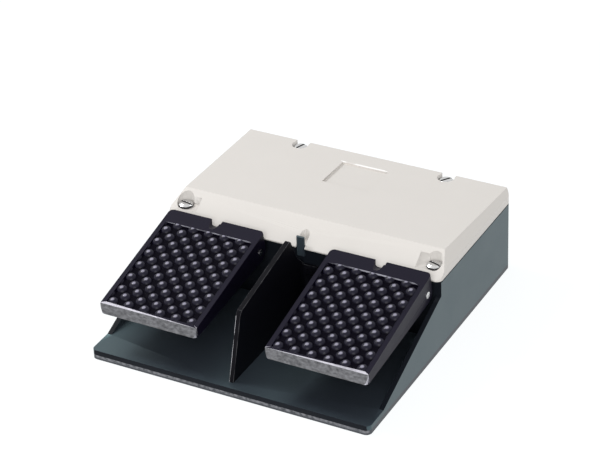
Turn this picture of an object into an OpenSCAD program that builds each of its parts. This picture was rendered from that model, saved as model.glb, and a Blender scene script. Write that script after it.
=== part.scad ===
// Double-pedal industrial foot switch.
// Origin: middle of the footprint on the surface it stands on. +X right, +Y to the rear, +Z up.
// The operator's feet come from -Y. Each pedal tips about a cross pin in front of the switch
// compartment, and an arm below the pin pushes a plunger through the compartment wall.

/* [Base] */
// Width of the base across both pedals
base_w = 250; // [246:1:300]
// Depth of the base from front edge to rear wall
base_d = 266; // [260:1:300]
// Height of the rim that carries the cover, above the ground
rim_h = 62.5; // [60:0.5:70]
// Corner radius of the base in plan
base_r = 5; // [3:0.5:8]
// Thickness of the steel base plate
plate_t = 4; // [3.2:0.1:5]
// Thickness of the tray floor
floor_t = 4; // [3.2:0.1:5]
// Thickness of the cast walls
wall_t = 4; // [3.5:0.1:5]
// Depth of the closed switch compartment
comp_d = 136; // [130:1:140]
// Height of the upright end of each side wall below the rim
side_drop = 12.5; // [8:0.5:18]
// Distance from the front edge to the toe of the sloping side wall
toe_d = 25; // [15:1:40]
// Radius on the front edge of the tray floor
lip_r = 1; // [0.5:0.1:3]

/* [Cover] */
// Wall thickness of the cover
cover_wall = 3.5; // [2.5:0.1:4.5]
// Thickness of the gasket under the cover
gasket_t = 1; // [0.6:0.1:2]
// Width of the gasket
gasket_w = 3; // [2:0.1:3.2]
// Height of the upright lip at the cover's front
cover_lip_h = 1; // [0.8:0.1:4]
// How far that lip stands ahead of the compartment wall
cover_over = 2.2; // [0.5:0.1:3]
// Depth of the sloping front of the cover behind the wall's face
cover_slope_d = 20; // [16:0.5:30]
// Height of the cover's front ridge above the rim
ridge_h = 18.5; // [17:0.5:24]
// Height of the cover's rear edge above the rim
rear_h = 13.5; // [12:0.5:18]
// Height of the upright band on the cover's sides
side_band_h = 7.5; // [3:0.5:8]
// Lean of the cover's side bevels, inward per unit of height
bevel_lean = 0.55; // [0.2:0.05:0.6]
// Depth of the blank field in the cover's top
field_depth = 1.2; // [0.3:0.1:1.5]
// Width of the blank field
field_w = 43; // [30:1:60]
// Length of the blank field
field_l = 39; // [20:1:45]
// Distance from the field's centre to the rear edge
field_y = 38; // [32:1:60]
// Width of the rib in the middle of the wall that locates the cover
rib_w = 7; // [5:0.5:10]
// Height of that rib above the rim
rib_up = 11.5; // [8:0.5:13]
// Clearance round the rib in the cover's notch
notch_gap = 0.5; // [0.2:0.1:1]
// How far the notch reaches behind the wall's face
notch_d = 11; // [8:0.5:14]

/* [Cover screws] */
// Head diameter of the cover screws
screw_head_d = 12.5; // [10:0.5:13]
// Head height of the cover screws
screw_head_h = 3.2; // [2.8:0.1:4]
// Thread diameter of the cover screws
screw_d = 5; // [4:0.5:6]
// Length of thread below the cover
screw_grip = 14; // [10:1:20]
// Width of the gap between a screw head and its pocket
pocket_gap = 1; // [0.6:0.1:2]
// Distance of the front screws from the base's sides
front_screw_in = 11; // [10.5:0.5:16]
// Distance of the front screws behind the compartment wall's face
front_screw_y = 10.5; // [10:0.5:14]
// Length of the open end of the front pockets, towards the middle
pocket_run = 13.5; // [8:0.5:20]
// Distance of the rear screws from the middle plane
rear_screw_x = 69; // [50:1:90]
// Distance of the rear screws from the rear face
rear_screw_y = 7; // [6.5:0.5:14]
// Depth of the rear screw heads below the cover's rear edge
rear_sink = 1; // [0.5:0.1:2]
// Height of the front screw seats above the rim
front_seat_h = 6.5; // [6:0.1:7.5]

/* [Pedals] */
// Width of each pedal
pedal_w = 89; // [70:1:89]
// Distance of each pedal's centre from the middle plane
pedal_x = 75; // [74:0.5:75]
// Length of each pedal along its top
pedal_l = 116.2; // [100:0.2:117]
// Slope of the pedals at rest
pedal_tilt = 12.4; // [9:0.1:14]
// Height of the tread surface above the pivot axis, square to it
tread_h = 13.3; // [13:0.1:15]
// Distance of the pedal's rear edge behind the pivot axis, along the tread
pedal_tail = 11.6; // [9:0.1:11.8]
// Thickness of the pedal's top plate
pedal_t = 5.6; // [5:0.1:7]
// Thickness of the pedal's side skirts
skirt_t = 3.6; // [3:0.1:5]
// Height of the pedal's bare front face
nose_h = 8.5; // [7.5:0.1:12]
// How far the bottom of the front face stands ahead of its top
nose_lean = 3.4; // [0:0.1:5]
// Radius of the skirt round the pin
boss_r = 8.5; // [7:0.1:8.5]
// Corner radius of the pedal in plan
pedal_r = 4; // [2:0.5:8]
// Width of the smooth margin left and right of the tread
margin_side = 4; // [3:0.1:8]
// Width of the smooth margin in front of the tread
margin_front = 2.6; // [2:0.1:8]
// Width of the smooth band behind the tread
margin_rear = 15; // [12:0.5:25]
// Width of the notch in the pedal's rear edge
tail_notch_w = 10; // [6:0.5:16]
// Depth of the notch in the pedal's rear edge
tail_notch_d = 3.5; // [2:0.1:5]
// Angle that a pedal turns from rest to its stop
pedal_travel = 10; // [6:0.5:10]

/* [Tread] */
// Distance between studs of one row
stud_pitch = 14.6; // [12:0.1:18]
// Diameter of a stud at its foot
stud_d = 9.8; // [7:0.1:11]
// Height of a stud
stud_h = 2.8; // [1.5:0.1:3]
// Thickness of the rubber under the studs
mat_t = 1.2; // [1:0.1:1.6]
// How far the studs stand above the smooth margin
stud_proud = 0.8; // [0.2:0.1:1]
// Clearance between the rubber mat and its pocket
mat_gap = 0.1; // [0.05:0.05:0.4]

/* [Pivots] */
// Distance of the pivot axis in front of the compartment wall
pivot_out = 13.5; // [13.5:0.1:16]
// Depth of the pivot axis below the rim
pivot_drop = 5; // [3:0.1:6]
// Diameter of the pedal pins
pin_d = 6; // [5:0.5:7]
// How far a pin stands out of each skirt
pin_proud = 0.4; // [0.1:0.1:0.8]
// Distance between the two lugs of one pedal, centre to centre
lug_span = 54; // [48:1:58]
// Thickness of each lug
lug_t = 9; // [7:0.5:12]
// Radius of each lug round its bush
lug_r = 7.5; // [6.5:0.1:8]
// Wall of the pivot bushes
bush_wall = 1.5; // [1:0.1:2]
// Thickness of the bush flanges
bush_flange_t = 1; // [0.8:0.1:1.5]
// Running clearance round each pin
pin_gap = 0.05; // [0.03:0.01:0.09]
// Clearance between a part at rest and its stop
rest_gap = 0.3; // [0.2:0.1:0.5]

/* [Arm and plunger] */
// Depth of the plunger axis below the pivot axis
plunger_drop = 22.5; // [20:0.5:25]
// Width of the arm below each pedal
arm_w = 44; // [40:1:44]
// Thickness of the arm's foot
arm_t = 7; // [5:0.5:8]
// Distance of the arm's working face behind the pivot axis
arm_face = 1.5; // [0:0.1:2]
// How far the arm reaches below the plunger axis
arm_tail = 6; // [4:0.5:7]
// Diameter of the plunger rod
rod_d = 8; // [6:0.5:9]
// Diameter of the plunger's button
button_d = 12; // [10:0.5:13]
// Thickness of the plunger's button
button_t = 3; // [2:0.5:4]
// Length of the plunger rod behind the button
rod_l = 50; // [48:0.5:54]
// Diameter of the guide bush's barrel
guide_d = 14; // [13:0.5:16]
// Diameter of the guide bush's flange
guide_flange_d = 19; // [18:0.5:22]
// Thickness of the guide bush's flange
guide_flange_t = 2; // [1.5:0.1:2.4]
// Length of the guide bush behind the wall's front face
guide_l = 16; // [14:0.5:17]
// Sliding clearance round the plunger rod
rod_gap = 0.05; // [0.03:0.01:0.09]
// Diameter of the plunger's collar
collar_d = 14.5; // [14:0.5:16]
// Thickness of the plunger's collar
collar_t = 2.5; // [2:0.5:3]
// Wire thickness of the return springs
wire_d = 1.2; // [0.8:0.1:1.4]
// Mean diameter of the return springs
spring_d = 11; // [10.6:0.1:12]
// Length of the return springs at rest
spring_l = 20; // [18:0.5:24]
// Turns in a return spring
spring_turns = 5; // [4:1:7]
// Diameter of the rubber stops
stop_d = 12; // [8:0.5:12]
// Distance of the rubber stops left and right of each plunger
stop_x = 15.8; // [15.6:0.1:16]

/* [Switches] */
// Width of a switch block
block_w = 34; // [30:1:40]
// Length of a switch block
block_l = 46; // [40:1:50]
// Height of a switch block
block_h = 30; // [28:1:34]
// Thickness of the switch bracket's sheet
bracket_t = 2.5; // [2:0.1:3]
// Clearance round the rod inside a switch block
block_gap = 0.4; // [0.3:0.1:0.6]
// Number of terminals along one side of a switch block
terminal_rows = 2; // [1:1:2]
// Diameter of the terminal screws
terminal_d = 5; // [4:0.5:6]

/* [Divider] */
// Thickness of the divider plate
divider_t = 4; // [2:0.1:5]
// Thickness of the divider's rear tab
tab_t = 2.5; // [2:0.1:4]
// Height of the divider's top edge above the tread plane
divider_over = 12.5; // [6:0.5:13]
// Distance from the base's front edge to the divider's foot
divider_front = 8; // [4:0.5:15]
// Distance of the divider's front knee behind its foot
knee_run = 16.5; // [10:0.5:30]
// Distance from the end of the divider's straight top to the compartment wall
tail_run = 23; // [20:0.5:28]
// Distance from the foot of the divider's leaning rear edge to that wall
tail_off = 11.5; // [9:0.5:14]
// Radius between top and rear edge
tail_r = 3; // [1:0.5:5]

/* [Cable entry] */
// Distance of the gland and the plug from the middle plane
entry_x = 38; // [30:1:48]
// Height of the cable entries above the tray floor
entry_up = 27; // [24:0.5:30]
// Thread diameter of the cable entries
entry_d = 20; // [16:0.5:20]
// Width across flats of the gland's hexagons
gland_af = 24; // [24:0.5:27]
// Bore of the gland's seal
cable_bore = 9; // [6:0.5:11]

/* [Hidden] */
$fn = 64;

// ---- planes and axes worked out from the driving dimensions ----
y_front = -base_d / 2;
y_rear = base_d / 2;
y_wall = y_rear - comp_d;
z_cast = plate_t;
z_floor = z_cast + floor_t;
y_pivot = y_wall - pivot_out;
z_pivot = rim_h - pivot_drop;
z_cover = rim_h + gasket_t;
z_ridge = rim_h + ridge_h;
z_rear = rim_h + rear_h;
y_ridge = y_wall + cover_slope_d;
y_lip = y_wall - cover_over;
front_screw_x = base_w / 2 - front_screw_in;
z_plunger = z_pivot - plunger_drop;
z_entry = z_floor + entry_up;
// the plunger is worked by the arm: its button rests just behind the arm's working face
y_button = y_pivot + arm_face + rest_gap;
y_collar = y_wall + guide_l + rest_gap;
y_spring_end = y_collar + collar_t + spring_l;
y_rod_end = y_button + button_t + rod_l;
y_block = y_spring_end + bracket_t;
z_block = z_plunger - block_h / 2;
// the top of the divider runs parallel to the treads
tread_slope = tan(pedal_tilt);
z_tread_at_pivot = z_pivot + tread_h / cos(pedal_tilt);
knee_y = y_front + divider_front + knee_run;
field_rise = (z_ridge - z_rear) / (y_rear - y_ridge);
eps = 0.01;
// clearance of a screw in a through hole, and in the thread that holds it
screw_slack = 0.4;
tap_gap = 0.1;

function tread_z(y) = z_tread_at_pivot + (y - y_pivot) * tread_slope;
function cover_top_z(y) = z_rear + (y_rear - y) * field_rise;

// ---- shared shapes ----
module mirrored() {
    children();
    mirror([1, 0, 0]) children();
}

// extrudes a profile drawn in (y, z) along X, centred on x
module across(x, w) {
    translate([x - w / 2, 0, 0]) rotate([90, 0, 90]) linear_extrude(w) children();
}

// a rectangle with rounded corners, from its lowest and highest corner
module rounded(p, q, r) {
    translate([p[0] + r, p[1]]) square([q[0] - p[0] - 2 * r, q[1] - p[1]]);
    translate([p[0], p[1] + r]) square([q[0] - p[0], q[1] - p[1] - 2 * r]);
    for (x = [p[0] + r, q[0] - r], y = [p[1] + r, q[1] - r]) translate([x, y]) circle(r);
}

// footprint of the base, drawn in by an inset
module footprint(inset = 0) {
    rounded([-base_w / 2 + inset, y_front + inset], [base_w / 2 - inset, y_rear - inset],
            max(base_r - inset, 0.5));
}

// footprint of the closed compartment, drawn in by an inset
module comp_footprint(inset = 0) {
    rounded([-base_w / 2 + inset, y_wall + inset], [base_w / 2 - inset, y_rear - inset],
            max(base_r - inset, 0.5));
}

// a bolt along -Z with its head's underside at z = 0
module bolt(head_d, head_h, d, l) {
    cylinder(d = head_d, h = head_h);
    translate([0, 0, -l]) cylinder(d = d, h = l + eps);
}

// a slotted cheese-head screw along -Z, its head sized from its thread
module slotted(d, l) difference() {
    bolt(1.9 * d, 0.6 * d, d, l);
    translate([-d, -0.15 * d, 0.3 * d]) cube([2 * d, 0.3 * d, d]);
}

module hexagon(af, h) {
    cylinder(d = af / cos(30), h = h, $fn = 6);
}

// puts +Z of the children along +Y at a point
module along_y(p) {
    translate(p) rotate([-90, 0, 0]) children();
}

// the pedals' own frame: origin on the pivot axis, +Y up the tread, +Z out of the tread
module pedal_frame(side) {
    translate([side * pedal_x, y_pivot, z_pivot]) rotate([pedal_tilt, 0, 0]) children();
}

// ---- base ----
plate_screw_x = base_w / 2 - 16;
plate_screw_ys = [y_front + 45, y_rear - 40];
plate_screw_d = 4;
plate_screw_head_d = 8;
boss_d = 12;
// the screws end in blind holes: metal left above the holes, and play at the tips
plate_screw_skin = 0.8;
plate_screw_tip = 0.4;
plate_screw_recess = 0.1;
plate_screw_l = plate_t + floor_t - plate_screw_skin - plate_screw_tip;
foot_d = 24;
foot_t = 2;
foot_x = base_w / 2 - 22;
foot_ys = [y_front + 22, y_rear - 22];

cover_screw_at = [
    [front_screw_x, y_wall + front_screw_y, rim_h + front_seat_h],
    [rear_screw_x, y_rear - rear_screw_y, z_rear - rear_sink - screw_head_h]
];

// the side wall: full height beside the compartment, then a slope down to the toe
module side_profile() {
    polygon([
        [y_front + toe_d, z_floor], [y_wall, rim_h - side_drop], [y_wall, rim_h],
        [y_rear, rim_h], [y_rear, z_cast], [y_front + toe_d, z_cast]
    ]);
}

// the tray floor with its rounded front edge
module floor_profile() {
    polygon([[y_front + lip_r, z_cast], [y_rear, z_cast], [y_rear, z_floor], [y_front + lip_r, z_floor]]);
    translate([y_front, z_cast]) square([lip_r + eps, floor_t - lip_r]);
    translate([y_front + lip_r, z_floor - lip_r]) circle(lip_r);
}

// a lug that carries one pivot bush; its rear top is the pedal's rest stop
module lug(x) {
    stop_from = 0;
    under = tread_h - pedal_t - rest_gap;
    across(x, lug_t) difference() {
        union() {
            translate([y_pivot, z_pivot]) circle(lug_r);
            translate([y_pivot, z_pivot]) rotate(pedal_tilt)
                translate([stop_from, -1]) square([pedal_tail - 3, under + 1]);
            translate([y_pivot, z_pivot - lug_r]) square([pivot_out + eps, pivot_drop + lug_r - 1]);
            polygon([
                [y_pivot, z_pivot - lug_r], [y_wall + eps, z_pivot - lug_r],
                [y_wall + eps, z_pivot - lug_r - pivot_out]
            ]);
        }
        translate([y_pivot, z_pivot]) circle(pin_d / 2 + pin_gap + bush_wall);
    }
}

// a column for a cover screw, tied by webs to the walls next to it
web_t = 4;
module screw_boss(p) {
    h = rim_h - z_floor + eps;
    at_rear = p[1] > y_wall + comp_d / 2;
    web_y = at_rear ? y_rear - wall_t / 2 : y_wall + wall_t / 2;
    translate([p[0], p[1], z_floor - eps]) {
        cylinder(d = boss_d, h = h);
        translate([-web_t / 2, min(0, web_y - p[1]), 0]) cube([web_t, abs(web_y - p[1]), h]);
        if (!at_rear) translate([0, -web_t / 2, 0]) cube([base_w / 2 - wall_t / 2 - p[0], web_t, h]);
    }
}

// the rib in front of the wall that locates the cover, with chamfered corners
rib_down = 6;
rib_chamfer = 0.8;
module locating_rib() translate([0, 0, rim_h - rib_down]) linear_extrude(rib_down + rib_up) polygon([
    [-rib_w / 2, y_wall], [-rib_w / 2, y_lip + rib_chamfer], [-rib_w / 2 + rib_chamfer, y_lip],
    [rib_w / 2 - rib_chamfer, y_lip], [rib_w / 2, y_lip + rib_chamfer], [rib_w / 2, y_wall]
]);

module base_casting() color("#2b3236") difference() {
    union() {
        intersection() {
            across(0, base_w) floor_profile();
            linear_extrude(rim_h + 1) footprint();
        }
        mirrored() intersection() {
            across(base_w / 2 - wall_t / 2, wall_t) side_profile();
            linear_extrude(rim_h + 1) footprint();
        }
        translate([0, 0, z_cast]) linear_extrude(rim_h - z_cast) difference() {
            intersection() {
                footprint();
                translate([-base_w / 2, y_wall]) square([base_w, comp_d]);
            }
            rounded([-base_w / 2 + wall_t, y_wall + wall_t], [base_w / 2 - wall_t, y_rear - wall_t], 3);
        }
        for (p = cover_screw_at) mirrored() screw_boss(p);
        locating_rib();
        for (side = [-1, 1], i = [-1, 1]) lug(side * pedal_x + i * lug_span / 2);
        // pillars for the switch brackets and the earth screw
        for (side = [-1, 1], p = bracket_screw_at(side))
            translate([p[0], p[1], z_floor - eps]) cylinder(d = pillar_d, h = pillar_h + eps);
        translate([earth_at[0], earth_at[1], z_floor - eps]) cylinder(d = pillar_d, h = pillar_h + eps);
    }
    // slot that takes the foot of the divider
    translate([-divider_t / 2 - divider_gap, y_front + divider_front - divider_gap, z_floor - divider_sink])
        cube([divider_t + 2 * divider_gap, y_wall - y_front - divider_front + divider_gap, floor_t]);
    for (p = cover_screw_at) mirrored()
        translate([p[0], p[1], rim_h - screw_grip - 2]) cylinder(d = screw_d + tap_gap, h = screw_grip + 4);
    for (x = [-plate_screw_x, plate_screw_x], y = plate_screw_ys)
        translate([x, y, z_cast - 1])
            cylinder(d = plate_screw_d + tap_gap, h = floor_t + 1 - plate_screw_skin);
    for (side = [-1, 1], p = bracket_screw_at(side))
        translate([p[0], p[1], z_floor + 1]) cylinder(d = bracket_screw_d + tap_gap, h = pillar_h);
    translate([earth_at[0], earth_at[1], z_floor + 1]) cylinder(d = bracket_screw_d + tap_gap, h = pillar_h);
    // guide bush holes through the compartment wall, cable entries through the rear wall
    for (side = [-1, 1]) along_y([side * pedal_x, y_wall - 1, z_plunger])
        cylinder(d = guide_d + tap_gap, h = wall_t + 2);
    for (side = [-1, 1]) along_y([side * entry_x, y_rear - wall_t - 1, z_entry])
        cylinder(d = entry_d + screw_slack, h = wall_t + 2);
    for (side = [-1, 1], i = [-1, 1]) along_y([side * pedal_x + i * stop_x, y_wall - 1, z_plunger])
        cylinder(d = stop_stem_d + tap_gap, h = wall_t + 2);
    for (z = divider_screw_zs) along_y([divider_screw_x, y_wall - 1, z])
        cylinder(d = divider_screw_d + tap_gap, h = wall_t + 2);
}

module base_plate() color("#a9a9ab") difference() {
    linear_extrude(plate_t) footprint();
    for (x = [-foot_x, foot_x], y = foot_ys)
        translate([x, y, -eps]) cylinder(d = foot_d + 2 * tap_gap, h = foot_t + eps);
    for (x = [-plate_screw_x, plate_screw_x], y = plate_screw_ys) translate([x, y, 0]) {
        translate([0, 0, -eps]) cylinder(d = plate_screw_d + screw_slack, h = plate_t + 1);
        translate([0, 0, -eps]) cylinder(d1 = plate_screw_head_d + screw_slack,
                                         d2 = plate_screw_d + screw_slack,
                                         h = (plate_screw_head_d - plate_screw_d) / 2 + eps);
    }
}

module base_plate_screws() color("#b5b5b0")
    for (x = [-plate_screw_x, plate_screw_x], y = plate_screw_ys) translate([x, y, 0]) difference() {
        union() {
            translate([0, 0, plate_screw_recess])
                cylinder(d1 = plate_screw_head_d, d2 = plate_screw_d,
                         h = (plate_screw_head_d - plate_screw_d) / 2);
            translate([0, 0, plate_screw_recess])
                cylinder(d = plate_screw_d, h = plate_screw_l - plate_screw_recess);
        }
        translate([-plate_screw_head_d, -plate_screw_d / 8, -1])
            cube([2 * plate_screw_head_d, plate_screw_d / 4, 1 + plate_screw_d / 4]);
    }

module rubber_feet() color("#222222")
    for (x = [-foot_x, foot_x], y = foot_ys) translate([x, y, 0]) cylinder(d = foot_d, h = foot_t);

// ---- divider between the pedals ----
divider_gap = 0.15;
divider_sink = 2;
divider_screw_d = 4;
divider_screw_x = 9;
divider_screw_up = 12;
divider_screw_pitch = 22;
divider_screw_zs = [z_floor + divider_screw_up, z_floor + divider_screw_up + divider_screw_pitch];
tab_w = 15;
knee_r = 3;
y_tail = y_wall - tail_run;
z_tail = tread_z(y_tail) + divider_over;
z_tail_foot = rim_h - cover_over;
// the rear edge is tangent to the rounded corner above it
tail_fall = z_tail - tail_r - z_tail_foot;
tail_turn = atan((tail_run - tail_off) / tail_fall) - asin(tail_r / norm([tail_run - tail_off, tail_fall]));

// side view of the divider plate
module divider_profile() {
    polygon([
        [y_front + divider_front, z_floor - divider_sink], [y_front + divider_front, z_floor],
        [knee_y, tread_z(knee_y) + divider_over - knee_r],
        [knee_y + knee_r, tread_z(knee_y + knee_r) + divider_over],
        [y_tail, z_tail],
        [y_tail + tail_r * cos(tail_turn), z_tail - tail_r + tail_r * sin(tail_turn)],
        [y_wall - tail_off, z_tail_foot], [y_wall - divider_gap, z_tail_foot - tail_off],
        [y_wall - divider_gap, z_floor - divider_sink]
    ]);
    translate([y_tail, z_tail - tail_r]) circle(tail_r);
}

module divider() color("#24282c") {
    across(0, divider_t) divider_profile();
    // rear tab against the compartment wall
    difference() {
        translate([0, y_wall - divider_gap - tab_t, divider_screw_zs[0] - tab_w / 2])
            cube([tab_w, tab_t, divider_screw_zs[1] - divider_screw_zs[0] + tab_w]);
        for (z = divider_screw_zs) along_y([divider_screw_x, y_wall - pivot_out, z])
            cylinder(d = divider_screw_d + screw_slack, h = 2 * pivot_out);
    }
}

module divider_screws() color("#b5b5b0")
    for (z = divider_screw_zs) along_y([divider_screw_x, y_wall - divider_gap - tab_t, z])
        mirror([0, 0, 1]) slotted(divider_screw_d, tab_t + wall_t + nut_t);

// ---- cover ----
pocket_d = screw_head_d + 2 * pocket_gap;
pocket_wall = 2.5;
pocket_mouth = screw_head_d + 0.4;
pocket_reach = 4.3;
notch_w = rib_w + 2 * notch_gap;
notch_end = y_wall + notch_d;
notch_floor_t = 2.5;
// rise of the cover's front slope, and the angle it makes with the ground
front_rise = (z_ridge - z_cover - cover_lip_h) / (y_ridge - y_lip);
front_angle = atan(front_rise);

function slope_z(y) = z_ridge + (y - y_ridge) * front_rise;

// profile from the side; the inner one follows the outer at a wall's thickness
module cover_side(inset = 0) {
    y_face = inset > 0 ? y_wall + inset : y_lip;
    drop = inset / cos(front_angle);
    y_turn = y_ridge + (drop - inset) / (front_rise + field_rise);
    z_foot = z_cover - (inset > 0 ? 1 : 0);
    polygon([
        [y_face, z_foot], [y_face, slope_z(y_face) - drop],
        [y_turn, cover_top_z(y_turn) - inset], [y_rear - inset, cover_top_z(y_rear - inset) - inset],
        [y_rear - inset, z_foot]
    ]);
}

// profile from the front, drawn in by an inset
module cover_front(inset = 0) {
    h = z_ridge - rim_h + 1;
    x0 = base_w / 2 - inset;
    x1 = x0 - (h - side_band_h) * bevel_lean;
    polygon([
        [-x0, z_cover - 2], [-x0, rim_h + side_band_h], [-x1, rim_h + h],
        [x1, rim_h + h], [x0, rim_h + side_band_h], [x0, z_cover - 2]
    ]);
}

module cover_body(inset = 0) intersection() {
    across(0, base_w) cover_side(inset);
    translate([0, y_rear + 1, 0]) rotate([90, 0, 0])
        linear_extrude(comp_d + cover_over + 2) cover_front(inset);
    translate([0, 0, z_cover - 2]) linear_extrude(ridge_h + 10)
        if (inset > 0) comp_footprint(inset);
        else rounded([-base_w / 2, y_lip], [base_w / 2, y_rear], base_r);
}

// plan of a front screw's pocket: round, with an open end towards the middle
module front_pocket(grow = 0) translate([front_screw_x, cover_screw_at[0][1]]) {
    circle(d = pocket_d + 2 * grow);
    translate([-pocket_run - grow, -front_screw_y - cover_over - 1])
        square([pocket_run + grow, front_screw_y + cover_over + 1 + pocket_reach + grow]);
}

// plan of the notch round the locating rib
module notch_plan(grow = 0) {
    translate([-notch_w / 2 - grow, y_lip - 1])
        square([notch_w + 2 * grow, notch_end - notch_w / 2 - y_lip + 1]);
    translate([0, notch_end - notch_w / 2]) circle(d = notch_w + 2 * grow);
}

module cover() color("#e4e1da") difference() {
    union() {
        difference() {
            cover_body();
            cover_body(cover_wall);
        }
        // walls of the screw pockets and of the front notch, inside the outer form
        intersection() {
            cover_body();
            translate([0, 0, z_cover]) linear_extrude(ridge_h) {
                mirrored() front_pocket(pocket_wall);
                mirrored() translate([rear_screw_x, cover_screw_at[1][1]])
                    circle(d = pocket_d + 2 * pocket_wall);
                notch_plan(pocket_wall);
            }
        }
    }
    // front pockets, open to the slope
    translate([0, 0, cover_screw_at[0][2]]) linear_extrude(ridge_h) mirrored() front_pocket();
    // rear pockets: round, and open to the rear
    mirrored() translate([rear_screw_x, cover_screw_at[1][1], cover_screw_at[1][2]]) {
        cylinder(d = pocket_d, h = ridge_h);
        translate([-pocket_mouth / 2, 0, 0]) cube([pocket_mouth, rear_screw_y + 1, ridge_h]);
    }
    for (p = cover_screw_at) mirrored()
        translate([p[0], p[1], z_cover - 1]) cylinder(d = screw_d + screw_slack, h = ridge_h);
    // notch in the middle of the front, closed below behind the wall's face
    translate([0, 0, z_cover + notch_floor_t]) linear_extrude(ridge_h) notch_plan();
    translate([-notch_w / 2, y_lip - 1, z_cover - 1]) cube([notch_w, cover_over + 1 + notch_gap, ridge_h]);
    // blank field on the top
    translate([-field_w / 2, y_rear - field_y - field_l / 2, cover_top_z(y_rear - field_y)])
        rotate([-atan(field_rise), 0, 0]) translate([0, 0, -field_depth]) cube([field_w, field_l, 10]);
}

module cover_gasket() color("#3a3a3a") translate([0, 0, rim_h]) linear_extrude(gasket_t) difference() {
    comp_footprint(0.4);
    comp_footprint(0.4 + gasket_w);
}

// the angles at which the slots came to rest: left and right screw, front pair first
slot_turn = [[-10, -16], [70, 55]];
slot_w = 1.8;
slot_depth = 1.8;
crown_h = 1.2;
crown_in = 2;

module cover_screws() color("#d9dadb") for (i = [0, 1], side = [0, 1]) {
    p = cover_screw_at[i];
    translate([(2 * side - 1) * p[0], p[1], p[2]]) difference() {
        union() {
            bolt(screw_head_d, screw_head_h - crown_h, screw_d, p[2] - rim_h + screw_grip);
            translate([0, 0, screw_head_h - crown_h])
                cylinder(d1 = screw_head_d, d2 = screw_head_d - 2 * crown_in, h = crown_h);
        }
        rotate(slot_turn[i][side]) translate([-screw_head_d, -slot_w / 2, screw_head_h - slot_depth])
            cube([2 * screw_head_d, slot_w, 2 * slot_depth]);
    }
}

// ---- pedals ----
nose_y = pedal_tail - pedal_l;
front_wall_t = 4.5;
arm_hub_w = 16;
rib_t = 3;
rib_raise = 3;
rib_x = 21;
rib_short = 6;
pocket_w = pedal_w - 2 * margin_side;
pocket_y0 = nose_y + margin_front;
pocket_y1 = pedal_tail - margin_rear;
pocket_h = mat_t + stud_h - stud_proud;

// height of the skirts' lower edge in the pedals' frame
function skirt_z(y) = tread_h - nose_h
    - (y - nose_y + nose_lean) / (nose_lean - nose_y) * (tread_h - nose_h + boss_r);

module pedal_outline() polygon([
    [nose_y - nose_lean, tread_h - nose_h], [nose_y, tread_h], [pedal_tail, tread_h],
    [boss_r, 0], [0, -boss_r]
]);

// side view of the plate with its nose, open underneath
module pedal_section() difference() {
    pedal_outline();
    polygon([
        [nose_y + front_wall_t - nose_lean, tread_h - nose_h - 20],
        [nose_y + front_wall_t - nose_lean * pedal_t / nose_h, tread_h - pedal_t],
        [pedal_tail + 1, tread_h - pedal_t], [pedal_tail + 1, -boss_r - 20]
    ]);
}

// the arm hangs plumb below the pin and ends in a wide foot
module arm_profile() {
    circle(boss_r);
    translate([arm_face - arm_t, -plunger_drop - arm_tail]) square([arm_t, plunger_drop + arm_tail]);
}

module pedal_casting(side) pedal_frame(side) difference() {
    union() {
        intersection() {
            union() {
                across(0, pedal_w) pedal_section();
                for (i = [-1, 1]) across(i * (pedal_w - skirt_t) / 2, skirt_t) {
                    pedal_outline();
                    circle(boss_r);
                }
            }
            translate([0, 0, -60]) linear_extrude(120)
                rounded([-pedal_w / 2, nose_y - nose_lean], [pedal_w / 2, pedal_tail], pedal_r);
        }
        // inner bosses round the pin
        for (i = [-1, 1]) across(i * (pedal_w / 2 - skirt_t - 1.5), 3 + eps) circle(boss_r - 1.5);
        // hub, web and arm
        across(0, arm_hub_w) {
            circle(boss_r);
            translate([-boss_r, 0]) square([boss_r, tread_h - pedal_t + eps]);
        }
        rotate([-pedal_tilt, 0, 0]) {
            across(0, arm_hub_w) arm_profile();
            across(0, arm_w) translate([arm_face - arm_t, -plunger_drop - arm_tail])
                square([arm_t, 2 * arm_tail]);
        }
        // ribs under the plate, a little shallower than the skirts
        for (i = [-1 : 1]) across(i * rib_x, rib_t) polygon([
            [nose_y + 1, tread_h - pedal_t + eps], [nose_y + 1, skirt_z(nose_y + 1) + rib_raise],
            [-boss_r - rib_short, skirt_z(-boss_r - rib_short) + rib_raise],
            [-boss_r + 1, tread_h - pedal_t + eps]
        ]);
    }
    // pocket for the tread mat
    translate([-pocket_w / 2, pocket_y0, tread_h - pocket_h]) cube([pocket_w, pocket_y1 - pocket_y0, 20]);
    // notch in the rear edge, dished towards the tread
    translate([-tail_notch_w / 2, pedal_tail - tail_notch_d, tread_h - pedal_t - 1])
        cube([tail_notch_w, 20, 20]);
    translate([0, pedal_tail - tail_notch_d, tread_h]) rotate([62, 0, 0])
        cylinder(d = tail_notch_w * 0.8, h = 14, center = true);
    // bore for the pin
    translate([-pedal_w, 0, 0]) rotate([0, 90, 0]) cylinder(d = pin_d, h = 2 * pedal_w);
}

module stud() rotate_extrude($fn = 48) {
    r = (stud_d * stud_d / 4 + stud_h * stud_h) / (2 * stud_h);
    intersection() {
        translate([0, stud_h - r]) circle(r);
        translate([0, -0.2]) square([stud_d, stud_h + 1]);
    }
}

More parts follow.
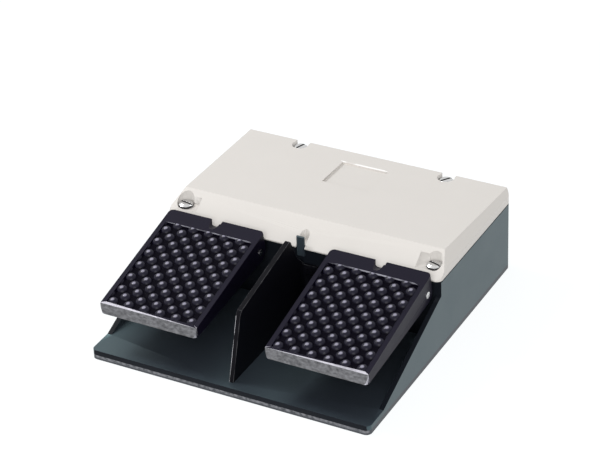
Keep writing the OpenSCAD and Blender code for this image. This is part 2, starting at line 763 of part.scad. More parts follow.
// staggered studs: the rows alternate by half a pitch, and the outermost run into the margin
module tread_mat(side) pedal_frame(side) {
    w = pocket_w - 2 * mat_gap;
    y0 = pocket_y0 + mat_gap;
    y1 = pocket_y1 - mat_gap;
    rows = floor((y1 - y0) / (stud_pitch / 2));
    cols = ceil(w / stud_pitch / 2);
    z0 = tread_h - pocket_h;
    translate([-w / 2, y0, z0]) cube([w, y1 - y0, mat_t]);
    intersection() {
        translate([-w / 2, y0, z0 + mat_t / 2]) cube([w, y1 - y0, 20]);
        for (j = [0 : rows]) for (i = [-cols : cols]) {
            x = (i + (j % 2 == 0 ? 0 : 0.5)) * stud_pitch;
            if (abs(x) < w / 2 + stud_d / 2 - 0.5)
                translate([x, y1 - j * stud_pitch / 2, z0 + mat_t]) stud();
        }
    }
}

module pedal_pin(side) translate([side * pedal_x, y_pivot, z_pivot]) rotate([0, 90, 0])
    cylinder(d = pin_d, h = pedal_w + 2 * pin_proud, center = true);

module pedal_left() color("#34323c") pedal_casting(-1);
module pedal_right() color("#34323c") pedal_casting(1);
module tread_left() color("#26242c") tread_mat(-1);
module tread_right() color("#26242c") tread_mat(1);
module pin_left() color("#d0d0d0") pedal_pin(-1);
module pin_right() color("#d0d0d0") pedal_pin(1);

// flanged bushes in the four lugs
module pivot_bushes() color("#b08d4a") for (side = [-1, 1], i = [-1, 1])
    translate([side * pedal_x + i * lug_span / 2, y_pivot, z_pivot]) rotate([0, 90, 0]) difference() {
        union() {
            cylinder(d = pin_d + 2 * pin_gap + 2 * bush_wall, h = lug_t, center = true);
            translate([0, 0, i * (lug_t + bush_flange_t) / 2])
                cylinder(d = pin_d + 2 * pin_gap + 2 * bush_wall + 3, h = bush_flange_t, center = true);
        }
        cylinder(d = pin_d + 2 * pin_gap, h = 2 * lug_t, center = true);
    }

// rubber stops that catch the arm's foot at the end of its travel
stop_stem_d = 5;
stop_head_l = 3;
stop_l = pivot_out - rest_gap
    - (arm_face / cos(pedal_travel) + (plunger_drop + stop_d / 2) * tan(pedal_travel));
module stop_buffers() color("#1d1d1d") for (side = [-1, 1], i = [-1, 1])
    along_y([side * pedal_x + i * stop_x, y_wall, z_plunger]) {
        translate([0, 0, -stop_l]) cylinder(d = stop_d, h = stop_l);
        cylinder(d = stop_stem_d, h = wall_t);
        translate([0, 0, wall_t]) cylinder(d1 = 1.5 * stop_stem_d, d2 = stop_stem_d, h = stop_head_l);
    }

// ---- plungers ----
module plunger(side) color("#c9c9c6") along_y([side * pedal_x, y_button, z_plunger]) {
    r = button_d;
    intersection() {
        cylinder(d = button_d, h = button_t);
        translate([0, 0, r]) sphere(r);
    }
    translate([0, 0, button_t - eps]) cylinder(d = rod_d, h = rod_l + eps);
}

module collar(side) color("#b5b5b0") along_y([side * pedal_x, y_collar, z_plunger]) difference() {
    cylinder(d = collar_d, h = collar_t);
    translate([0, 0, -1]) cylinder(d = rod_d, h = collar_t + 2);
}

module plunger_left() plunger(-1);
module plunger_right() plunger(1);
module collar_left() collar(-1);
module collar_right() collar(1);

// a round wire swept along a helix
module coil(d, wire, l, turns, sides = 8, steps = 18) {
    n = turns * steps;
    rise = l - wire;
    points = [
        for (k = [0 : n]) for (s = [0 : sides - 1])
            let (a = 360 * k / steps, b = 360 * s / sides, r = d / 2 + wire / 2 * cos(b))
            [r * cos(a), r * sin(a), wire / 2 + rise * k / n + wire / 2 * sin(b)]
    ];
    walls = [
        for (k = [0 : n - 1]) for (s = [0 : sides - 1])
            let (t = (s + 1) % sides)
            [k * sides + s, k * sides + t, (k + 1) * sides + t, (k + 1) * sides + s]
    ];
    first = [for (s = [sides - 1 : -1 : 0]) s];
    last = [for (s = [0 : sides - 1]) n * sides + s];
    polyhedron(points, concat(walls, [first, last]), convexity = 10);
}

module return_spring(side) color("#c4c8ca") along_y([side * pedal_x, y_collar + collar_t, z_plunger])
    coil(spring_d, wire_d, spring_l, spring_turns);

module return_spring_left() return_spring(-1);
module return_spring_right() return_spring(1);

// ---- plunger guides in the compartment wall ----
seal_w = 2.4;
seal_l = 2.5;
nut_t = 4;

module guide_bushes() color("#b08d4a") for (side = [-1, 1])
    along_y([side * pedal_x, y_wall, z_plunger]) difference() {
        union() {
            translate([0, 0, -guide_flange_t]) cylinder(d = guide_flange_d, h = guide_flange_t);
            translate([0, 0, -eps]) cylinder(d = guide_d, h = guide_l + eps);
        }
        translate([0, 0, -50]) cylinder(d = rod_d + 2 * rod_gap, h = 100);
        translate([0, 0, -guide_flange_t - eps]) cylinder(d = rod_d + 2 * seal_w, h = seal_l + eps);
    }

module guide_nuts() color("#c4b27a") for (side = [-1, 1])
    along_y([side * pedal_x, y_wall + wall_t, z_plunger]) difference() {
        hexagon(guide_d + 5, nut_t);
        translate([0, 0, -1]) cylinder(d = guide_d, h = nut_t + 2);
    }

module rod_seals() color("#1a1a1a") for (side = [-1, 1])
    along_y([side * pedal_x, y_wall - guide_flange_t, z_plunger]) difference() {
        cylinder(d = rod_d + 2 * seal_w, h = seal_l);
        translate([0, 0, -1]) cylinder(d = rod_d + 2 * rod_gap, h = seal_l + 2);
    }

// ---- switch blocks ----
bracket_screw_d = 4;
// the bracket's foot passes just below the block, on pillars of the height that is left
block_lift = 0.5;
pillar_h = z_block - block_lift - bracket_t - z_floor;
pillar_d = 10;
screw_tip = 1.2;
bracket_foot_l = block_l + 10;
bracket_w = block_w + 22;
block_screw_d = 4;
block_screw_grip = 9;
earth_washer_t = 1;
// distance of screws and terminals from the block's edges, and the depth of the terminal shelves
block_edge = 4;
shelf_h = 9;
terminal_y0 = 16;
terminal_pitch = 17;
terminal_w = 7.2;
terminal_l = 9;
terminal_t = 1;
terminal_stem_d = 3.5;
terminal_stem_l = 5;
block_screw_z = block_h / 2 - block_edge;
function bracket_screw_at(side) = [
    for (i = [-1, 1], y = [y_block + 8, y_block + block_l - 4])
        [side * pedal_x + i * (block_w / 2 + 6), y]
];
earth_at = [0, y_rear - 40];

// a contact block: rod bore in front, stepped terminal shelves along both long edges
module switch_block(side) color("#33363a") translate([side * pedal_x, y_block, z_block]) difference() {
    translate([-block_w / 2, 0, 0]) cube([block_w, block_l, block_h]);
    along_y([0, -1, block_h / 2]) cylinder(d = rod_d + 2 * block_gap, h = 1 + y_rod_end - y_block + 9);
    for (i = [-1, 1]) translate([i * block_w / 2 - 2 * block_edge, shelf_h, block_h - shelf_h])
        cube([4 * block_edge, block_l + 1, 20]);
    for (i = [-1, 1], k = [0 : terminal_rows - 1])
        translate([i * (block_w / 2 - block_edge), terminal_y0 + k * terminal_pitch,
                   block_h - shelf_h - terminal_stem_l - 1])
            cylinder(d = terminal_stem_d + tap_gap, h = 2 * terminal_stem_l);
    for (x = [-1, 1]) along_y([x * (block_w / 2 - block_edge), -1, block_h / 2 - block_screw_z])
        cylinder(d = block_screw_d + tap_gap, h = block_screw_grip + 2);
}

module switch_terminals(side) color("#c9b26a") translate([side * pedal_x, y_block, z_block])
    for (i = [-1, 1], k = [0 : terminal_rows - 1])
        translate([i * (block_w / 2 - block_edge), terminal_y0 + k * terminal_pitch, block_h - shelf_h])
            difference() {
                union() {
                    translate([-terminal_w / 2, -terminal_l / 2, 0])
                        cube([terminal_w, terminal_l, terminal_t]);
                    translate([0, 0, terminal_t - eps]) cylinder(d = terminal_d, h = terminal_d / 2);
                    translate([0, 0, -terminal_stem_l])
                        cylinder(d = terminal_stem_d, h = terminal_stem_l + eps);
                }
                translate([-terminal_d, -terminal_d / 12, terminal_t + terminal_d / 4])
                    cube([2 * terminal_d, terminal_d / 6, terminal_d]);
            }

module switch_left() switch_block(-1);
module switch_right() switch_block(1);
module switch_terminals_left() switch_terminals(-1);
module switch_terminals_right() switch_terminals(1);

// sheet brackets: the upright carries the block's front, the foot is screwed to the pillars
module switch_brackets() color("#a3a6a8") for (side = [-1, 1])
    translate([side * pedal_x, 0, z_floor + pillar_h]) difference() {
        union() {
            translate([-bracket_w / 2, y_block - bracket_t, 0]) cube([bracket_w, bracket_foot_l, bracket_t]);
            translate([-block_w / 2, y_block - bracket_t, 0])
                cube([block_w, bracket_t, z_block + block_h - z_floor - pillar_h]);
        }
        along_y([0, y_block - 10, z_plunger - z_floor - pillar_h])
            cylinder(d = rod_d + 2 * block_gap, h = 20);
        for (p = bracket_screw_at(0)) translate([p[0], p[1], -1])
            cylinder(d = bracket_screw_d + screw_slack, h = 10);
        for (x = [-1, 1]) along_y([x * (block_w / 2 - block_edge), y_block - 10,
                                   z_block + block_edge - z_floor - pillar_h])
            cylinder(d = block_screw_d + screw_slack, h = 20);
    }

module bracket_screws() color("#b5b5b0") for (side = [-1, 1], p = bracket_screw_at(side))
    translate([p[0], p[1], z_floor + pillar_h + bracket_t])
        slotted(bracket_screw_d, bracket_t + pillar_h - screw_tip);

module block_screws() color("#b5b5b0") for (side = [-1, 1], x = [-1, 1])
    along_y([side * pedal_x + x * (block_w / 2 - block_edge), y_block - bracket_t, z_block + block_edge])
        mirror([0, 0, 1]) slotted(block_screw_d, bracket_t + block_screw_grip);

module earth_terminal() color("#b9a04f") translate([earth_at[0], earth_at[1], z_floor + pillar_h]) {
    cylinder(d = pillar_d - 1, h = earth_washer_t);
    translate([0, 0, earth_washer_t - eps]) slotted(bracket_screw_d, pillar_h - screw_tip);
}

// ---- cable gland and blanking plug in the rear wall ----
gland_hex_t = 6;
gland_neck_l = 8;
gland_nut_l = 14;
washer_t = 1.5;
gland_tail = wall_t + 9;
locknut_t = 4.5;
plug_head_t = 3;
plug_shank_l = 5;
plug_wall = 2.5;
plug_rim = 2.5;

module entry(side) along_y([side * entry_x, y_rear, z_entry]) children();

module gland_washer() color("#1c1c1c") entry(1) difference() {
    cylinder(d = gland_af + 1, h = washer_t);
    translate([0, 0, -1]) cylinder(d = entry_d, h = washer_t + 2);
}

module gland_body() color("#8f9396") entry(1) difference() {
    union() {
        translate([0, 0, -gland_tail]) cylinder(d = entry_d, h = gland_tail + washer_t + eps);
        translate([0, 0, washer_t]) hexagon(gland_af, gland_hex_t);
        translate([0, 0, washer_t + gland_hex_t - eps]) cylinder(d = entry_d, h = gland_neck_l + eps);
    }
    translate([0, 0, -gland_tail - 1]) cylinder(d = cable_bore + 3, h = 80);
    translate([0, 0, washer_t + gland_hex_t]) cylinder(d = seal_d, h = 80);
}

seal_d = entry_d - 4;
module gland_seal() color("#1c1c1c") entry(1) translate([0, 0, washer_t + gland_hex_t]) difference() {
    cylinder(d = seal_d, h = gland_neck_l);
    translate([0, 0, -1]) cylinder(d = cable_bore, h = gland_neck_l + 2);
}

// domed clamping nut: a hexagon that runs into a rounded mouth
module gland_nut() color("#8f9396") entry(1) translate([0, 0, washer_t + gland_hex_t + 1]) difference() {
    union() {
        hexagon(gland_af, gland_nut_l - 5);
        intersection() {
            cylinder(d = gland_af, h = gland_nut_l);
            translate([0, 0, gland_nut_l - 15]) sphere(15);
        }
    }
    translate([0, 0, -1]) cylinder(d = entry_d, h = gland_neck_l);
    cylinder(d = cable_bore + 2, h = 40);
}

module gland_locknut() color("#8f9396") entry(1) translate([0, 0, -wall_t - locknut_t]) difference() {
    hexagon(gland_af, locknut_t);
    translate([0, 0, -1]) cylinder(d = entry_d, h = locknut_t + 2);
}

module blanking_plug() color("#2a2a2a") entry(-1) difference() {
    union() {
        cylinder(d = entry_d + 2 * plug_rim, h = plug_head_t);
        translate([0, 0, -wall_t - plug_shank_l]) cylinder(d = entry_d, h = wall_t + plug_shank_l + eps);
    }
    translate([-0.4 * entry_d, -1, plug_head_t / 2]) cube([0.8 * entry_d, 2, plug_head_t]);
    translate([0, 0, -wall_t - plug_shank_l - 1])
        cylinder(d = entry_d - 2 * plug_wall, h = wall_t + plug_shank_l);
}

base_casting();
base_plate();
base_plate_screws();
rubber_feet();
cover();
cover_gasket();
cover_screws();
divider();
divider_screws();
pivot_bushes();
stop_buffers();
pedal_left();
tread_left();
pin_left();
pedal_right();
tread_right();
pin_right();
plunger_left();
collar_left();
plunger_right();
collar_right();
return_spring_left();
return_spring_right();
guide_bushes();
guide_nuts();
rod_seals();
switch_left();
switch_right();
switch_terminals_left();
switch_terminals_right();
switch_brackets();
bracket_screws();
block_screws();
earth_terminal();
gland_body();
gland_seal();
gland_nut();
gland_locknut();
gland_washer();
blanking_plug();
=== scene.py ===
import math

import bmesh
import bpy
from mathutils import Matrix, Quaternion, Vector


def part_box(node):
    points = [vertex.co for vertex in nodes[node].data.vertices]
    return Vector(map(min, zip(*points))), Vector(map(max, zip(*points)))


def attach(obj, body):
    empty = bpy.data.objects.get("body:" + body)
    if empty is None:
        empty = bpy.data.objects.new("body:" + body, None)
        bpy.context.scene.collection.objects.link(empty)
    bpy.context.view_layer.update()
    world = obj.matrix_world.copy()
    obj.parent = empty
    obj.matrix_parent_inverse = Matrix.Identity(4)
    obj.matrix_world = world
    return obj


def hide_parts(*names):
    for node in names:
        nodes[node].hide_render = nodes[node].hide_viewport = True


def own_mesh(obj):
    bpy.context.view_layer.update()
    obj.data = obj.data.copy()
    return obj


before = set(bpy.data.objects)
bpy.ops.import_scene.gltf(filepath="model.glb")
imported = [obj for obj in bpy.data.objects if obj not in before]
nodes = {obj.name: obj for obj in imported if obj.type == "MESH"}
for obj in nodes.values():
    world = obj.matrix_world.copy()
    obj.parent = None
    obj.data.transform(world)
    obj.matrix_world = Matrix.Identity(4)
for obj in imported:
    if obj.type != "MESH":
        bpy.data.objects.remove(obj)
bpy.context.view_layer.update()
scene = bpy.context.scene

# ---------------------------------------------------------------------------------------------
# Camera. A long lens well in front of the switch, to the operator's right and above the pedals.
# It leans a little, so the switch's uprights aren't quite plumb in the picture.
camera_place = Vector((0.7867, -1.4017, 1.0647))
camera_target = Vector((-0.0440, 0.0747, 0.0300))
camera_lean = math.radians(-2.6)
camera_data = bpy.data.cameras.new("camera")
camera_data.lens = 140.0
camera_data.sensor_width = 36.0
camera_data.clip_end = 20.0
camera = bpy.data.objects.new("camera", camera_data)
camera.location = camera_place
camera.rotation_mode = "QUATERNION"
camera_aim = (camera_target - camera_place).to_track_quat("-Z", "Y")
camera.rotation_quaternion = camera_aim @ Quaternion((0, 0, 1), camera_lean)
scene.collection.objects.link(camera)
scene.camera = camera

# ---------------------------------------------------------------------------------------------
# Studio. White paper under the switch, a lamp high on the left, a broad soft one in front, and
# an even pale surround. Paper and surround are brighter to rays that see them straight, off
# metal or through glass than to the rays that light the switch.
scene.view_settings.view_transform = "Standard"
paper_half = 6.0
paper_colour = (0.86, 0.86, 0.86)
glow_colour = (0.97, 0.99, 1.0)
glow_strength = 1.12
glow_share = 0.80
surround_level = 0.60
lamp_target = Vector((0, 0, 0.05))


def feed(tree, socket, value):
    """Links a socket to another one, or sets it to a constant."""
    if isinstance(value, bpy.types.NodeSocket):
        tree.links.new(value, socket)
    else:
        socket.default_value = value


def reckon(tree, operation, *values):
    """The result of a Math node that is fed with sockets or numbers."""
    node = tree.nodes.new("ShaderNodeMath")
    node.operation = operation
    for socket, value in zip(node.inputs, values):
        feed(tree, socket, value)
    return node.outputs[0]


def ramp(tree, value, start, end, low=0.0, high=1.0, kind="LINEAR"):
    """A value that goes from low, where the given one is start, to high, where it is end."""
    node = tree.nodes.new("ShaderNodeMapRange")
    node.interpolation_type = kind
    feed(tree, node.inputs["Value"], value)
    for name, limit in (("From Min", start), ("From Max", end), ("To Min", low), ("To Max", high)):
        node.inputs[name].default_value = limit
    return node.outputs["Result"]


def sees_white(tree):
    """1 for rays that come straight from the camera, off metal or through glass."""
    rays = tree.nodes.new("ShaderNodeLightPath")
    seen = reckon(tree, "MAXIMUM", rays.outputs["Is Camera Ray"], rays.outputs["Is Glossy Ray"])
    return reckon(tree, "MAXIMUM", seen, rays.outputs["Is Transmission Ray"])


def soft_lamp(name, place, size, power):
    """A rectangular lamp, aimed at the switch."""
    data = bpy.data.lights.new(name, "AREA")
    data.shape = "RECTANGLE"
    data.size, data.size_y = size
    data.energy = power
    lamp = bpy.data.objects.new(name, data)
    lamp.location = place
    lamp.rotation_euler = (lamp_target - Vector(place)).to_track_quat("-Z", "Y").to_euler()
    scene.collection.objects.link(lamp)


floor_data = bpy.data.meshes.new("floor")
floor_mesh = bmesh.new()
bmesh.ops.create_grid(floor_mesh, x_segments=1, y_segments=1, size=paper_half)
floor_mesh.to_mesh(floor_data)
floor_mesh.free()
floor = bpy.data.objects.new("floor", floor_data)
scene.collection.objects.link(floor)

floor_paper = bpy.data.materials.new("floor_paper")
floor_paper.use_nodes = True
tree = floor_paper.node_tree
tree.nodes.clear()
paper = tree.nodes.new("ShaderNodeBsdfDiffuse")
paper.inputs["Color"].default_value = (*paper_colour, 1)
glow = tree.nodes.new("ShaderNodeEmission")
glow.inputs["Color"].default_value = (*glow_colour, 1)
glow.inputs["Strength"].default_value = glow_strength
glowing_paper = tree.nodes.new("ShaderNodeMixShader")
paper_out = tree.nodes.new("ShaderNodeOutputMaterial")
feed(tree, glowing_paper.inputs["Fac"], reckon(tree, "MULTIPLY", sees_white(tree), glow_share))
feed(tree, glowing_paper.inputs[1], paper.outputs[0])
feed(tree, glowing_paper.inputs[2], glow.outputs[0])
feed(tree, paper_out.inputs["Surface"], glowing_paper.outputs[0])
floor_data.materials.append(floor_paper)

world = bpy.data.worlds.new("surround")
world.use_nodes = True
scene.world = world
tree = world.node_tree
tree.nodes.clear()
surround = tree.nodes.new("ShaderNodeBackground")
surround.inputs["Color"].default_value = (1, 1, 1, 1)
world_out = tree.nodes.new("ShaderNodeOutputWorld")
feed(tree, surround.inputs["Strength"], ramp(tree, sees_white(tree), 0.0, 1.0, low=surround_level))
feed(tree, world_out.inputs["Surface"], surround.outputs[0])

soft_lamp("lamp_left", (-1.47, 0.07, 1.68), (0.45, 0.45), 16)
soft_lamp("lamp_front", (0.72, -1.94, 1.26), (1.6, 1.2), 22.5)

# ---------------------------------------------------------------------------------------------
# Base casting. One aluminium casting in semi-gloss black paint with a cool cast: tray floor,
# sloping side walls, and the walls of the switch compartment with its lugs and bosses. The wall
# behind the pedals, the sloping rims and the low front face are painted darker and dull, as
# painted shade.
grain_depth = 0.0001
merge_distance = 1e-6
flat_angle = math.radians(0.6)
shading_angle = math.radians(32)


def object_place(tree):
    """The coordinates of a point on its own piece."""
    return tree.nodes.new("ShaderNodeTexCoord").outputs["Object"]


def noise(tree, place, scale, detail=2.0):
    """The value of a noise texture, 0.5 on average."""
    node = tree.nodes.new("ShaderNodeTexNoise")
    node.inputs["Detail"].default_value = detail
    feed(tree, node.inputs["Vector"], place)
    feed(tree, node.inputs["Scale"], scale)
    return node.outputs["Fac"]


def scaled_vector(tree, operation, vector, factor):
    """A vector or colour, multiplied by a vector (MULTIPLY) or by a number (SCALE)."""
    node = tree.nodes.new("ShaderNodeVectorMath")
    node.operation = operation
    feed(tree, node.inputs[0], vector)
    feed(tree, node.inputs["Scale" if operation == "SCALE" else 1], factor)
    return node.outputs[0]


def laid_over(tree, mask, under, over):
    """The colour over where the mask is 1, and the colour under where it is 0."""
    node = tree.nodes.new("ShaderNodeMix")
    node.data_type = "RGBA"
    feed(tree, node.inputs["Factor"], mask)
    feed(tree, node.inputs["A"], under)
    feed(tree, node.inputs["B"], over)
    return node.outputs["Result"]


def new_group(name, inputs, outputs):
    """A node group with its inputs (name, kind, value) and outputs (name, kind)."""
    group = bpy.data.node_groups.new(name, "ShaderNodeTree")
    for label, kind, value in inputs:
        socket = group.interface.new_socket(name=label, in_out="INPUT",
                                            socket_type="NodeSocket" + kind)
        socket.default_value = value
    for label, kind in outputs:
        group.interface.new_socket(name=label, in_out="OUTPUT", socket_type="NodeSocket" + kind)
    given = group.nodes.new("NodeGroupInput")
    result = group.nodes.new("NodeGroupOutput")
    return group, given.outputs, result.inputs


def sprayed_skin():
    """Cloudy colour, uneven gloss and fine bumps; Stretch draws them out into streaks."""
    group, given, result = new_group(
        "sprayed_skin",
        [("Colour", "Color", (0.5, 0.5, 0.5, 1)), ("Cloud", "Float", 0.1),
         ("Cloud Size", "Float", 60.0), ("Roughness", "Float", 0.4),
         ("Roughness Spread", "Float", 0.1), ("Grain Size", "Float", 900.0),
         ("Stretch", "Vector", (1.0, 1.0, 1.0))],
        [("Colour", "Color"), ("Roughness", "Float"), ("Height", "Float")])
    drawn = scaled_vector(group, "MULTIPLY", object_place(group), given["Stretch"])
    cloud = reckon(group, "SUBTRACT", noise(group, drawn, given["Cloud Size"], detail=4.0), 0.5)
    shade = reckon(group, "MULTIPLY_ADD", cloud, given["Cloud"], 1.0)
    rough = reckon(group, "MULTIPLY_ADD", cloud, given["Roughness Spread"], given["Roughness"])
    feed(group, result["Colour"], scaled_vector(group, "SCALE", given["Colour"], shade))
    feed(group, result["Roughness"], rough)
    feed(group, result["Height"], noise(group, drawn, given["Grain Size"]))
    return group


def worn_and_highlit_edge():
    """A broken, paler line along eased edges marked in the mesh: partly handling wear, partly
    painted highlight.
    """
    group, given, result = new_group(
        "worn_and_highlit_edge",
        [("Colour", "Color", (0, 0, 0, 1)), ("Wear And Highlight Colour", "Color", (0.3, 0.3, 0.3, 1)),
         ("Amount", "Float", 0.5)],
        [("Colour", "Color")])
    marked = group.nodes.new("ShaderNodeAttribute")
    marked.attribute_name = "wear_and_highlight"
    patches = noise(group, object_place(group), 90.0, detail=5.0)
    broken = ramp(group, patches, 0.35, 0.65)
    share = reckon(group, "MULTIPLY", marked.outputs["Fac"], broken)
    amount = reckon(group, "MULTIPLY", share, given["Amount"])
    feed(group, result["Colour"], laid_over(group, amount, given["Colour"], given["Wear And Highlight Colour"]))
    return group


skin_group = sprayed_skin()
worn_and_highlit_group = worn_and_highlit_edge()


def finish(name, colour, rough, cloud=0.15, cloud_size=40.0, spread=0.1, grain=900.0, bump=0.15,
           metal=0.0, gloss=0.5, tint=(1, 1, 1), stretch=(1, 1, 1), wear_and_highlight=None):
    """A material for one finish. Its last argument gives the colour and strength of the paler line
    on its eased edges, partly handling wear and partly painted highlight.
    """
    material = bpy.data.materials.new(name)
    material.use_nodes = True
    tree = material.node_tree
    shader = tree.nodes["Principled BSDF"]
    skin = tree.nodes.new("ShaderNodeGroup")
    skin.node_tree = skin_group
    for label, value in (("Colour", (*colour, 1)), ("Cloud", cloud), ("Cloud Size", cloud_size),
                         ("Roughness", rough), ("Roughness Spread", spread),
                         ("Grain Size", grain), ("Stretch", stretch)):
        skin.inputs[label].default_value = value
    relief = tree.nodes.new("ShaderNodeBump")
    relief.inputs["Strength"].default_value = bump
    relief.inputs["Distance"].default_value = grain_depth
    painted = skin.outputs["Colour"]
    if wear_and_highlight:
        edge = tree.nodes.new("ShaderNodeGroup")
        edge.node_tree = worn_and_highlit_group
        edge.inputs["Wear And Highlight Colour"].default_value = (*wear_and_highlight[0], 1)
        edge.inputs["Amount"].default_value = wear_and_highlight[1]
        feed(tree, edge.inputs["Colour"], painted)
        painted = edge.outputs["Colour"]
    feed(tree, shader.inputs["Base Color"], painted)
    feed(tree, shader.inputs["Roughness"], skin.outputs["Roughness"])
    feed(tree, relief.inputs["Height"], skin.outputs["Height"])
    feed(tree, shader.inputs["Normal"], relief.outputs["Normal"])
    shader.inputs["Metallic"].default_value = metal
    shader.inputs["Specular IOR Level"].default_value = gloss
    shader.inputs["Specular Tint"].default_value = (*tint, 1)
    return material


def ease(which, radius, segments, wear_and_highlight=0.0, least_angle=24):
    """One way to ease edges: which ones, from which angle on in degrees, and how strong a paler
    line, wear and painted highlight, they get.
    """
    return which, radius, segments, wear_and_highlight, math.radians(least_angle)


def put_in_order(work):
    """Sorts faces by their corners, because some operators list them in another order each run."""
    work.verts.index_update()
    total = len(work.verts)

    def rank(face):
        low, middle, high = sorted(vert.index for vert in face.verts)[:3]
        return (low * total + middle) * total + high

    work.faces.sort(key=rank)


def eased_copy(node, name, easings, materials, body):
    """Stands for a CAD node, with its sharp outer edges eased by each of the easings in turn."""
    mesh = nodes[node].data.copy()
    mesh.name = name
    work = bmesh.new()
    work.from_mesh(mesh)
    bmesh.ops.remove_doubles(work, verts=work.verts, dist=merge_distance)
    bmesh.ops.dissolve_limit(work, angle_limit=flat_angle, verts=work.verts, edges=work.edges)
    wear_and_highlight_layer = work.loops.layers.float.new("wear_and_highlight")
    for which, radius, segments, wear_and_highlight, least_angle in easings:
        sharp = [
            edge for edge in work.edges
            if len(edge.link_faces) == 2
            and edge.calc_face_angle(0) > least_angle
            and edge.is_convex
            and which(edge)
        ]
        eased = bmesh.ops.bevel(work, geom=sharp, offset=radius, offset_type="OFFSET",
                                segments=segments, profile=0.5, affect="EDGES",
                                clamp_overlap=True, material=-1)
        for face in eased["faces"]:
            for corner in face.loops:
                corner[wear_and_highlight_layer] = wear_and_highlight
    bmesh.ops.triangulate(work, faces=[face for face in work.faces if len(face.verts) > 4])
    put_in_order(work)
    for face in work.faces:
        face.smooth = True
    work.to_mesh(mesh)
    work.free()
    mesh.materials.clear()
    for material in materials:
        mesh.materials.append(material)
    mesh.set_sharp_from_angle(angle=shading_angle)
    piece = bpy.data.objects.new(name, mesh)
    scene.collection.objects.link(piece)
    flats = piece.modifiers.new("flats", "WEIGHTED_NORMAL")
    flats.keep_sharp = True
    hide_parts(node)
    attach(piece, body)
    return piece


def repaint(piece, index, wanted):
    """Gives the faces that are wanted another of the piece's materials."""
    for face in piece.data.polygons:
        if wanted(face):
            face.material_index = index


def span(edge):
    """The length of an edge."""
    return (edge.verts[0].co - edge.verts[1].co).length


casting_paint = finish("casting_paint", (0.025, 0.030, 0.040), 0.41, cloud=0.3, grain=700,
                       bump=0.12, gloss=0.95, tint=(0.58, 0.95, 1.0),
                       wear_and_highlight=((0.05, 0.06, 0.065), 0.4))
# painted shade: a darker, duller copy of the casting's paint
painted_shade_paint = finish("painted_shade_paint", (0.006, 0.008, 0.012), 0.55, cloud=0.5, bump=0.3, gloss=0.12)
casting_edge = 0.0007
casting_least_span = 0.012
casting_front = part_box("base_casting")[0][1]
wall_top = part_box("cover")[0][2]


def casting_outside(edge):
    """The casting's long outer edges, which the paint rounds off."""
    return span(edge) > casting_least_span


def in_painted_shade(face):
    """Faces on the low front, on the wall behind the pedals and on the sloping rims, which get the
    painted shade.
    """
    middle, facing = face.center, face.normal
    on_front = middle.y < casting_front + casting_edge
    on_wall = facing.y < -0.5 and middle.y > casting_front / 2
    on_rim = abs(facing.x) < 0.1 and -0.95 < facing.y < -0.2 and facing.z > 0.2
    return on_front or middle.z < wall_top and (on_wall or on_rim)


casting = eased_copy("base_casting", "casting",
                     [ease(casting_outside, casting_edge, 3, wear_and_highlight=1.0)],
                     [casting_paint, painted_shade_paint], "base")
repaint(casting, 1, in_painted_shade)

# ---------------------------------------------------------------------------------------------
# Base plate. Zinc-plated steel sheet that closes the casting from below, with countersunk
# screws and rubber pads let into it. The plating has darkened. A paler broken line along the
# front edge stands for zinc rubbed bare by shoes and the floor, and for painted highlight.
dark_zinc = finish("dark_zinc", (0.085, 0.09, 0.10), 0.45, metal=0.9, cloud=0.4, spread=0.2,
                   grain=1500, bump=0.1, stretch=(0.3, 1.0, 1.0))
bare_zinc_and_highlight_colour = (0.24, 0.24, 0.26)
bright_zinc = finish("bright_zinc", (0.62, 0.62, 0.60), 0.28, metal=1.0, cloud=0.1, grain=2000,
                     bump=0.05)
black_rubber = finish("black_rubber", (0.016, 0.016, 0.017), 0.7, cloud=0.2, grain=1800, bump=0.3)
# the pale line at the front, bare zinc and painted highlight: its reach, its band in the sheet's
# thickness, and its patches
pale_line_reach, pale_line_full = 0.0030, 0.0012
band_from, band_full = 0.35, 0.55
patch_scale, patch_from, patch_full = 300.0, 0.36, 0.60


def corners(node):
    """The low and the high corner of a CAD node's box."""
    return (Vector(corner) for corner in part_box(node))


def lay_colour(material, mask, colour):
    """Lays another colour over a material's own where the mask is 1."""
    tree = material.node_tree
    base = tree.nodes["Principled BSDF"].inputs["Base Color"]
    feed(tree, base, laid_over(tree, mask, base.links[0].from_socket, (*colour, 1)))


def dress(material, *names):
    """Gives CAD nodes their material."""
    for name in names:
        mesh = nodes[name].data
        mesh.materials.clear()
        mesh.materials.append(material)


plate_low, plate_high = corners("base_plate")
tree = dark_zinc.node_tree
place = object_place(tree)
along = tree.nodes.new("ShaderNodeSeparateXYZ")
feed(tree, along.inputs[0], place)
near_front = ramp(tree, along.outputs["Y"], plate_low.y + pale_line_reach, plate_low.y + pale_line_full)
in_band = ramp(tree, along.outputs["Z"], plate_low.lerp(plate_high, band_from).z,
               plate_low.lerp(plate_high, band_full).z)
patches = ramp(tree, noise(tree, place, patch_scale), patch_from, patch_full)
front_line = reckon(tree, "MULTIPLY", near_front, in_band)
lay_colour(dark_zinc, reckon(tree, "MULTIPLY", patches, front_line), bare_zinc_and_highlight_colour)
dress(dark_zinc, "base_plate")
dress(bright_zinc, "base_plate_screws")
dress(black_rubber, "rubber_feet")

